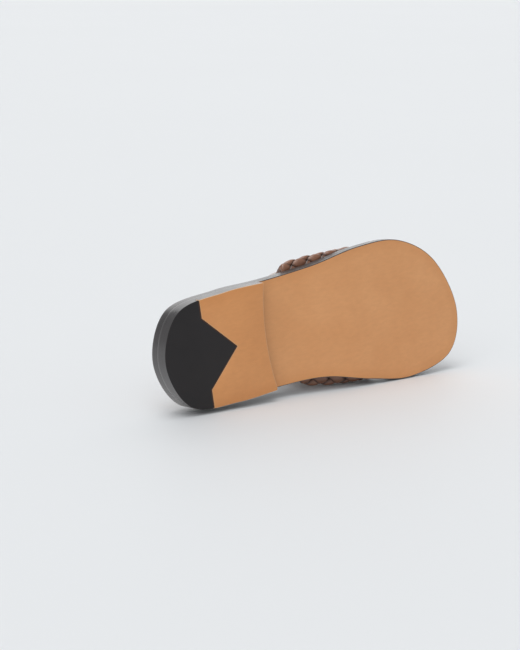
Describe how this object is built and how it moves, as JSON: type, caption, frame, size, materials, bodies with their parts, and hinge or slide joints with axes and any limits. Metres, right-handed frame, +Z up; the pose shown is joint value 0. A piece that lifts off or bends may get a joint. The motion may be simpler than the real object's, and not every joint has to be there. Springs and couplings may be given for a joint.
{
  "type": "woven strap slide sandal",
  "caption": "Right-foot slide sandal: flat leather sole with a low stacked heel, padded footbed and one wide padded strap of diagonally woven leather.",
  "frame": {"origin": "centre of the sandal's bounding box, on the ground under the heel and the ball of the sole", "axes": "+X to the toe, +Y to the big toe side of the right foot, +Z up from the ground"},
  "size_m": [0.2801, 0.1136, 0.079],
  "materials": {
    "rubber_black": "matte moulded rubber",
    "sole_leather": "natural tan vegetable-tanned sole leather, smooth satin",
    "edge_black": "black waxed and burnished leather edge, semi-gloss",
    "nail_steel": "bright wire",
    "shank_steel": "plain rolled spring steel",
    "rivet_brass": "brass-plated",
    "cork_filler": "pressed cork granulate",
    "insole_fibre": "brown cellulose board",
    "foam": "open-cell latex foam",
    "footbed_leather": "brown smooth calf leather, polished on its rolled edge",
    "woven_leather": "dark reddish-brown nappa strips, diagonal plain weave, soft sheen",
    "lining_leather": "dark brown smooth lining leather",
    "stay_tape": "woven nylon tape"
  },
  "bodies": {
    "root": {"heel_tip": "rubber_black", "heel_top_piece": "sole_leather", "heel_lift": "edge_black", "heel_nails": "nail_steel", "outsole": "sole_leather", "midsole": "edge_black", "shank": "shank_steel", "shank_rivets": "rivet_brass", "bottom_filler": "cork_filler", "insole_board": "insole_fibre", "footbed_padding": "foam", "footbed_cover": "footbed_leather", "strap_weave": "woven_leather", "strap_padding": "foam", "strap_lining": "lining_leather", "rear_edge_stay": "stay_tape", "front_edge_stay": "stay_tape"}
  },
  "joints": []
}
